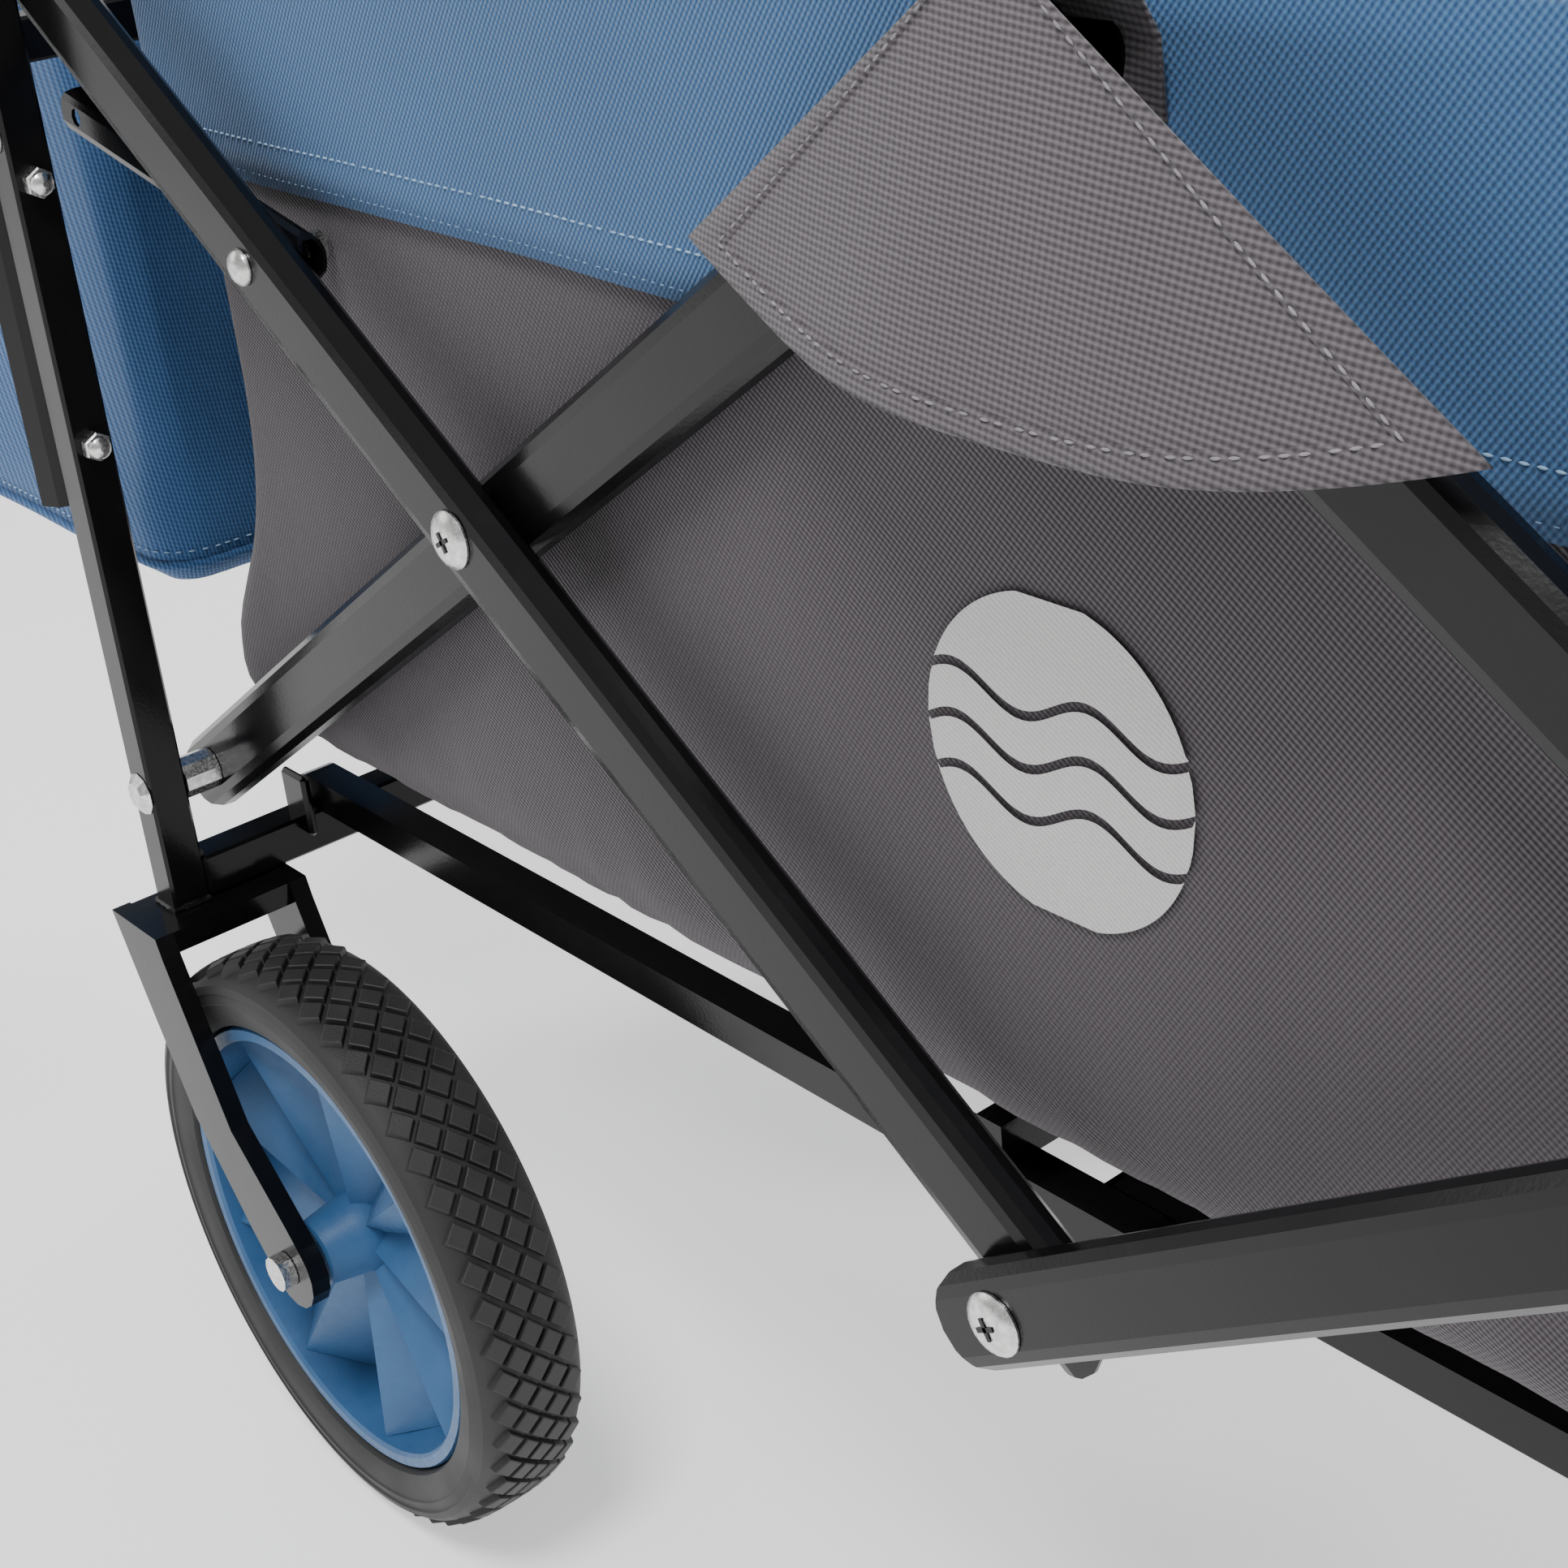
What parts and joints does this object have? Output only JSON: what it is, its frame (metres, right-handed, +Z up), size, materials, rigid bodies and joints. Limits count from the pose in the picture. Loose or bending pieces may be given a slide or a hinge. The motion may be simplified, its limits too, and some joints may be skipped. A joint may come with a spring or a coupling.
{
  "type": "folding beach cart",
  "caption": "Folding beach cart with double scissor sides, fixed rear wheels, swivelling front wheels, fabric basket, rear bag, push bar and telescopic pull handle.",
  "frame": {"origin": "on the ground, at the middle of the cart's length and width", "axes": "+X forwards to the pull handle, +Y to the cart's left, +Z up"},
  "size_m": [1.252, 0.6116, 0.994],
  "materials": {
    "frame": "gloss black powder coat",
    "steel": "zinc plated",
    "tyre": "matt moulded rubber",
    "rim": "satin moulded plastic",
    "blue_cloth": "woven polyester",
    "grey_cloth": "woven polyester",
    "foam": "matt foam grip"
  },
  "bodies": {
    "rear_frame": {"rear_lower_crossbar": "frame", "rear_upper_crossbar": "frame", "push_bar": "frame", "push_bar_grip": "foam", "basket": "grey_cloth", "rear_bag": "blue_cloth", "rear_post_right": "frame", "rear_post_left": "frame", "rear_fork_right": "frame", "rear_fork_left": "frame", "rear_pivot_bolt_right": "steel", "rear_pivot_bolt_left": "steel", "rear_right_axle": "steel", "rear_left_axle": "steel"},
    "front_frame": {"front_lower_crossbar": "frame", "front_upper_crossbar": "frame", "handle_bracket": "frame", "front_post_right": "frame", "front_post_left": "frame", "front_pivot_bolt_right": "steel", "front_pivot_bolt_left": "steel"},
    "bar_b_right": {"bar_b_right": "frame", "upper_bolt_right": "steel", "flap_right": "grey_cloth"},
    "bar_a_right": {"bar_a_right": "frame", "cross_bolt_rear_right": "steel"},
    "bar_d_right": {"bar_d_right": "frame", "cross_bolt_front_right": "steel"},
    "bar_c_right": {"bar_c_right": "frame", "lower_bolt_right": "steel"},
    "stay_rear_right": {"stay_rear_right": "frame"},
    "stay_front_right": {"stay_front_right": "frame"},
    "front_fork_right": {"front_fork_right": "frame", "front_right_axle": "steel"},
    "rear_wheel_right": {"rear_right_tyre": "tyre", "rear_right_rim": "rim"},
    "front_wheel_right": {"front_right_tyre": "tyre", "front_right_rim": "rim"},
    "bar_b_left": {"bar_b_left": "frame", "upper_bolt_left": "steel", "flap_left": "grey_cloth"},
    "bar_a_left": {"bar_a_left": "frame", "cross_bolt_rear_left": "steel"},
    "bar_d_left": {"bar_d_left": "frame", "cross_bolt_front_left": "steel"},
    "bar_c_left": {"bar_c_left": "frame", "lower_bolt_left": "steel"},
    "stay_rear_left": {"stay_rear_left": "frame"},
    "stay_front_left": {"stay_front_left": "frame"},
    "front_fork_left": {"front_fork_left": "frame", "front_left_axle": "steel"},
    "rear_wheel_left": {"rear_left_tyre": "tyre", "rear_left_rim": "rim"},
    "front_wheel_left": {"front_left_tyre": "tyre", "front_left_rim": "rim"},
    "floor_rear": {"floor_frame_rear": "frame"},
    "floor_front": {"floor_frame_front": "frame"},
    "pull_handle": {"handle_tube": "frame"},
    "handle_inner": {"handle_inner_tube": "steel", "handle_grip": "foam"}
  },
  "joints": [
    {"name": "fold", "type": "hinge", "parent": "rear_frame", "child": "bar_b_right", "pos_m": [-0.391, -0.25, 0.305], "axis": [0, -1, 0], "range_deg": [0, 35.75], "deforming": ["basket"]},
    {"name": "cross_rear_right", "type": "hinge", "parent": "bar_b_right", "child": "bar_a_right", "pos_m": [-0.153, -0.25, 0.464], "axis": [0, -1, 0], "range_deg": [-71.53, 0]},
    {"name": "upper_right", "type": "hinge", "parent": "bar_b_right", "child": "bar_d_right", "pos_m": [0.085, -0.25, 0.623], "axis": [0, -1, 0], "range_deg": [-71.53, 0]},
    {"name": "cross_front_right", "type": "hinge", "parent": "bar_d_right", "child": "bar_c_right", "pos_m": [0.323, -0.25, 0.464], "axis": [0, -1, 0], "range_deg": [0, 71.53]},
    {"name": "rear_stay_right", "type": "hinge", "parent": "rear_frame", "child": "stay_rear_right", "pos_m": [-0.391, -0.25, 0.5637], "axis": [0, -1, 0], "range_deg": [0, 78.59]},
    {"name": "front_stay_right", "type": "hinge", "parent": "front_frame", "child": "stay_front_right", "pos_m": [0.561, -0.25, 0.5637], "axis": [0, -1, 0], "range_deg": [-78.59, 0]},
    {"name": "rear_wheel_right", "type": "hinge", "parent": "rear_frame", "child": "rear_wheel_right", "pos_m": [-0.309, -0.2405, 0.125], "axis": [0, 1, 0], "continuous": true},
    {"name": "front_swivel_right", "type": "hinge", "parent": "front_frame", "child": "front_fork_right", "pos_m": [0.561, -0.265, 0.254], "axis": [0, 0, 1], "continuous": true},
    {"name": "front_wheel_right", "type": "hinge", "parent": "front_fork_right", "child": "front_wheel_right", "pos_m": [0.501, -0.265, 0.125], "axis": [0, 1, 0], "continuous": true},
    {"name": "fold_left", "type": "hinge", "parent": "rear_frame", "child": "bar_b_left", "pos_m": [-0.391, 0.25, 0.305], "axis": [0, -1, 0], "range_deg": [0, 35.77]},
    {"name": "cross_rear_left", "type": "hinge", "parent": "bar_b_left", "child": "bar_a_left", "pos_m": [-0.153, 0.25, 0.464], "axis": [0, -1, 0], "range_deg": [-71.53, 0]},
    {"name": "upper_left", "type": "hinge", "parent": "bar_b_left", "child": "bar_d_left", "pos_m": [0.085, 0.25, 0.623], "axis": [0, -1, 0], "range_deg": [-71.53, 0]},
    {"name": "cross_front_left", "type": "hinge", "parent": "bar_d_left", "child": "bar_c_left", "pos_m": [0.323, 0.25, 0.464], "axis": [0, -1, 0], "range_deg": [0, 71.53]},
    {"name": "rear_stay_left", "type": "hinge", "parent": "rear_frame", "child": "stay_rear_left", "pos_m": [-0.391, 0.25, 0.5637], "axis": [0, -1, 0], "range_deg": [0, 78.59]},
    {"name": "front_stay_left", "type": "hinge", "parent": "front_frame", "child": "stay_front_left", "pos_m": [0.561, 0.25, 0.5637], "axis": [0, -1, 0], "range_deg": [-78.59, 0]},
    {"name": "rear_wheel_left", "type": "hinge", "parent": "rear_frame", "child": "rear_wheel_left", "pos_m": [-0.309, 0.2405, 0.125], "axis": [0, 1, 0], "continuous": true},
    {"name": "front_swivel_left", "type": "hinge", "parent": "front_frame", "child": "front_fork_left", "pos_m": [0.561, 0.265, 0.254], "axis": [0, 0, 1], "continuous": true},
    {"name": "front_wheel_left", "type": "hinge", "parent": "front_fork_left", "child": "front_wheel_left", "pos_m": [0.501, 0.265, 0.125], "axis": [0, 1, 0], "continuous": true},
    {"name": "front_frame_level", "type": "hinge", "parent": "bar_d_right", "child": "front_frame", "pos_m": [0.561, -0.25, 0.305], "axis": [0, -1, 0], "range_deg": [0, 35.77]},
    {"name": "floor_rear_fold", "type": "hinge", "parent": "rear_frame", "child": "floor_rear", "pos_m": [-0.385, 0, 0.282], "axis": [0, -1, 0], "range_deg": [0, 70.79]},
    {"name": "floor_hinge", "type": "hinge", "parent": "floor_rear", "child": "floor_front", "pos_m": [0.066, 0, 0.282], "axis": [0, -1, 0], "range_deg": [-131.34, 0]},
    {"name": "handle_tilt", "type": "hinge", "parent": "front_frame", "child": "pull_handle", "pos_m": [0.613, 0, 0.269], "axis": [0, 1, 0], "range_deg": [0, 95]},
    {"name": "handle_extend", "type": "slide", "parent": "pull_handle", "child": "handle_inner", "axis": [-0.0349, 0, 0.9994], "range_m": [0, 0.28]}
  ],
  "couplings": [
    {"joint": "cross_rear_right", "follows": "fold", "ratio": -2},
    {"joint": "upper_right", "follows": "fold", "ratio": -2},
    {"joint": "cross_front_right", "follows": "fold", "ratio": 2},
    {"joint": "rear_stay_right", "follows": "fold", "ratio": 2.1976},
    {"joint": "front_stay_right", "follows": "fold", "ratio": -2.1976},
    {"joint": "fold_left", "follows": "fold", "ratio": 1},
    {"joint": "cross_rear_left", "follows": "fold", "ratio": -2},
    {"joint": "upper_left", "follows": "fold", "ratio": -2},
    {"joint": "cross_front_left", "follows": "fold", "ratio": 2},
    {"joint": "rear_stay_left", "follows": "fold", "ratio": 2.1976},
    {"joint": "front_stay_left", "follows": "fold", "ratio": -2.1976},
    {"joint": "front_frame_level", "follows": "fold", "ratio": 1},
    {"joint": "floor_rear_fold", "follows": "fold", "ratio": 1.9793},
    {"joint": "floor_hinge", "follows": "fold", "ratio": -3.6729}
  ]
}
